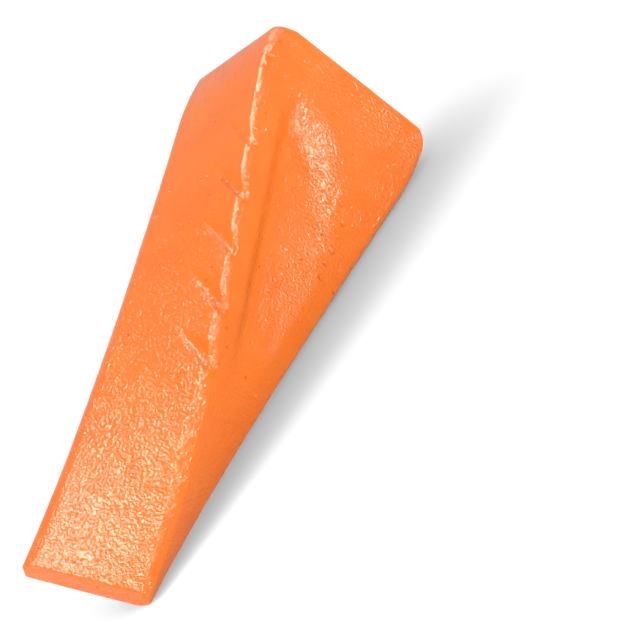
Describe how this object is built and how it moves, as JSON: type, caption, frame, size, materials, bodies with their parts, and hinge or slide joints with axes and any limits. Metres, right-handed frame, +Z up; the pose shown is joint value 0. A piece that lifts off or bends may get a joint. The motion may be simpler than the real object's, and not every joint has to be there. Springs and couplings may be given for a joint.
{
  "type": "splitting wedge",
  "caption": "Twisted forged-steel splitting wedge with barbed corners and hollowed sides, painted bright orange all over, driven into timber with a hammer",
  "frame": {"origin": "on the flat ground under the middle of the wedge's box, as it lies on one broad face, touching the ground with one end of the cutting edge and two corners of the head", "axes": "+Y runs along the wedge from the cutting edge to the head, +X across it between the two side faces of the head, +Z up"},
  "size_m": [0.054, 0.2034, 0.0692],
  "materials": {
    "forged_steel": "as-forged steel, hidden under the paint",
    "orange_paint": "glossy bright orange paint over a bumpy forged surface"
  },
  "bodies": {
    "root": {"steel_forging": "forged_steel", "paint_coat": "orange_paint"}
  },
  "joints": []
}
